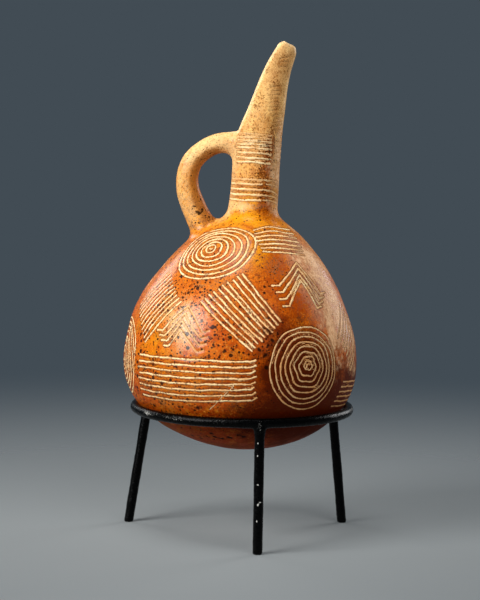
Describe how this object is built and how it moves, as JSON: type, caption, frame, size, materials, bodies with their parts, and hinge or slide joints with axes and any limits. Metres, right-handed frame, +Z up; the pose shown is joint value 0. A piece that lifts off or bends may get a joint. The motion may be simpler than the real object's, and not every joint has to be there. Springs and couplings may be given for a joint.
{
  "type": "beak-spouted juglet",
  "caption": "Round-based fired-clay jug with a tubular neck, cut-away beak spout and loop handle, resting in a steel ring stand.",
  "frame": {"origin": "on the floor, under the middle of the belly", "axes": "+Z up, +X towards the beak, -X towards the handle"},
  "size_m": [0.1222, 0.1222, 0.2581],
  "materials": {
    "burnished_clay": "burnished red slip, lime-filled incised lines",
    "black_paint": "satin black, worn"
  },
  "bodies": {
    "root": {"juglet": "burnished_clay", "stand_ring": "black_paint", "stand_leg_front": "black_paint", "stand_leg_left": "black_paint", "stand_leg_right": "black_paint"}
  },
  "joints": []
}
